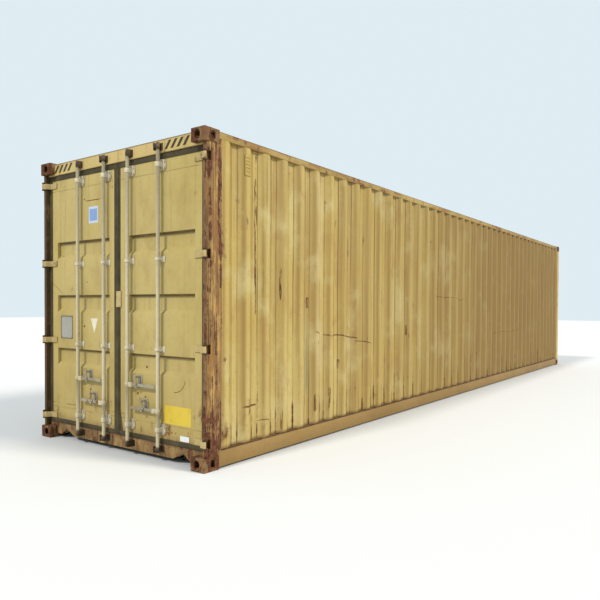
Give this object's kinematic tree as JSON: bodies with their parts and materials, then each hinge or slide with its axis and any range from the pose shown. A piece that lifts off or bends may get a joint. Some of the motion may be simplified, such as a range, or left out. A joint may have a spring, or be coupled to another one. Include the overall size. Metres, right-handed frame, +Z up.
{
  "type": "shipping container",
  "caption": "High-cube steel freight container with corrugated walls, hinged end doors, lock rods with handles, and corner castings.",
  "frame": {"origin": "Centre of the footprint, on the underside of the bottom corner castings.", "axes": "+X runs along the length from the door end to the closed end, +Y across the width towards the left door seen from outside, +Z up."},
  "size_m": [12.192, 2.438, 2.896],
  "materials": {
    "corner_castings": "rusted cast steel under worn paint",
    "frame_paint": "sandy yellow paint with rust",
    "post_paint": "brown paint with heavy rust",
    "wall_paint": "sandy yellow paint, matt",
    "roof_paint": "sandy yellow paint, weathered",
    "door_paint": "ochre paint, satin",
    "gear_zinc": "galvanised steel, aged",
    "hinge_paint": "cream yellow paint",
    "dark_steel": "dark oxidised steel",
    "pin_steel": "plain steel",
    "seal_rubber": "dark rubber",
    "under_paint": "black underseal",
    "floor_wood": "plywood boards",
    "vent_paint": "painted cover"
  },
  "bodies": {
    "container_frame": {"bottom_corner_castings": "corner_castings", "top_corner_castings": "corner_castings", "rear_corner_posts": "post_paint", "front_corner_posts": "frame_paint", "door_header": "frame_paint", "door_sill": "frame_paint", "header_keepers": "dark_steel", "sill_keepers": "dark_steel", "hinge_lugs": "dark_steel", "hinge_pins": "pin_steel", "left_side_wall": "wall_paint", "right_side_wall": "wall_paint", "top_side_rails": "frame_paint", "bottom_side_rails": "frame_paint", "front_end_wall": "wall_paint", "front_top_rail": "frame_paint", "front_sill": "frame_paint", "roof_panel": "roof_paint", "floor_boards": "floor_wood", "cross_members": "under_paint", "gooseneck_tunnel": "under_paint", "ventilators": "vent_paint"},
    "left_door": {"left_door_frame": "door_paint", "left_door_panel": "door_paint", "left_door_seal": "seal_rubber", "left_door_hinges": "hinge_paint", "left_rod_brackets": "gear_zinc", "left_handle_retainers": "gear_zinc"},
    "right_door": {"right_door_frame": "door_paint", "right_door_panel": "door_paint", "right_door_seal": "seal_rubber", "right_door_hinges": "hinge_paint", "right_rod_brackets": "gear_zinc", "right_handle_retainers": "gear_zinc", "right_overlap_plate": "hinge_paint"},
    "lock_rod_1": {"lock_rod_1": "gear_zinc"},
    "handle_1": {"handle_1": "gear_zinc"},
    "catch_1": {"catch_1": "gear_zinc"},
    "lock_rod_2": {"lock_rod_2": "gear_zinc"},
    "handle_2": {"handle_2": "gear_zinc"},
    "catch_2": {"catch_2": "gear_zinc"},
    "lock_rod_3": {"lock_rod_3": "gear_zinc"},
    "handle_3": {"handle_3": "gear_zinc"},
    "catch_3": {"catch_3": "gear_zinc"},
    "lock_rod_4": {"lock_rod_4": "gear_zinc"},
    "handle_4": {"handle_4": "gear_zinc"},
    "catch_4": {"catch_4": "gear_zinc"}
  },
  "joints": [
    {"name": "left_door_hinge", "type": "hinge", "parent": "container_frame", "child": "left_door", "pos_m": [-6.077, 1.202, 1.4475], "axis": [0, 0, -1], "range_deg": [0, 265]},
    {"name": "right_door_hinge", "type": "hinge", "parent": "container_frame", "child": "right_door", "pos_m": [-6.077, -1.202, 1.4475], "axis": [0, 0, 1], "range_deg": [0, 265]},
    {"name": "lock_rod_1_turn", "type": "hinge", "parent": "left_door", "child": "lock_rod_1", "pos_m": [-6.066, 0.606, 0.668], "axis": [0, 0, 1], "range_deg": [-120, 0]},
    {"name": "handle_1_lift", "type": "hinge", "parent": "lock_rod_1", "child": "handle_1", "pos_m": [-6.066, 0.551, 0.668], "axis": [1, 0, 0], "range_deg": [-12, 0]},
    {"name": "catch_1_swing", "type": "hinge", "parent": "left_door", "child": "catch_1", "pos_m": [-6.079, 0.446, 0.742], "axis": [-1, 0, 0], "range_deg": [-110, 0]},
    {"name": "lock_rod_2_turn", "type": "hinge", "parent": "left_door", "child": "lock_rod_2", "pos_m": [-6.066, 0.18, 0.452], "axis": [0, 0, -1], "range_deg": [-120, 0]},
    {"name": "handle_2_lift", "type": "hinge", "parent": "lock_rod_2", "child": "handle_2", "pos_m": [-6.066, 0.235, 0.452], "axis": [-1, 0, 0], "range_deg": [-12, 0]},
    {"name": "catch_2_swing", "type": "hinge", "parent": "left_door", "child": "catch_2", "pos_m": [-6.079, 0.378, 0.526], "axis": [1, 0, 0], "range_deg": [-110, 0]},
    {"name": "lock_rod_3_turn", "type": "hinge", "parent": "right_door", "child": "lock_rod_3", "pos_m": [-6.066, -0.18, 0.668], "axis": [0, 0, 1], "range_deg": [-120, 0]},
    {"name": "handle_3_lift", "type": "hinge", "parent": "lock_rod_3", "child": "handle_3", "pos_m": [-6.066, -0.235, 0.668], "axis": [1, 0, 0], "range_deg": [-12, 0]},
    {"name": "catch_3_swing", "type": "hinge", "parent": "right_door", "child": "catch_3", "pos_m": [-6.079, -0.314, 0.742], "axis": [-1, 0, 0], "range_deg": [-110, 0]},
    {"name": "lock_rod_4_turn", "type": "hinge", "parent": "right_door", "child": "lock_rod_4", "pos_m": [-6.066, -0.606, 0.452], "axis": [0, 0, -1], "range_deg": [-120, 0]},
    {"name": "handle_4_lift", "type": "hinge", "parent": "lock_rod_4", "child": "handle_4", "pos_m": [-6.066, -0.551, 0.452], "axis": [-1, 0, 0], "range_deg": [-12, 0]},
    {"name": "catch_4_swing", "type": "hinge", "parent": "right_door", "child": "catch_4", "pos_m": [-6.079, -0.393, 0.526], "axis": [1, 0, 0], "range_deg": [-110, 0]}
  ]
}
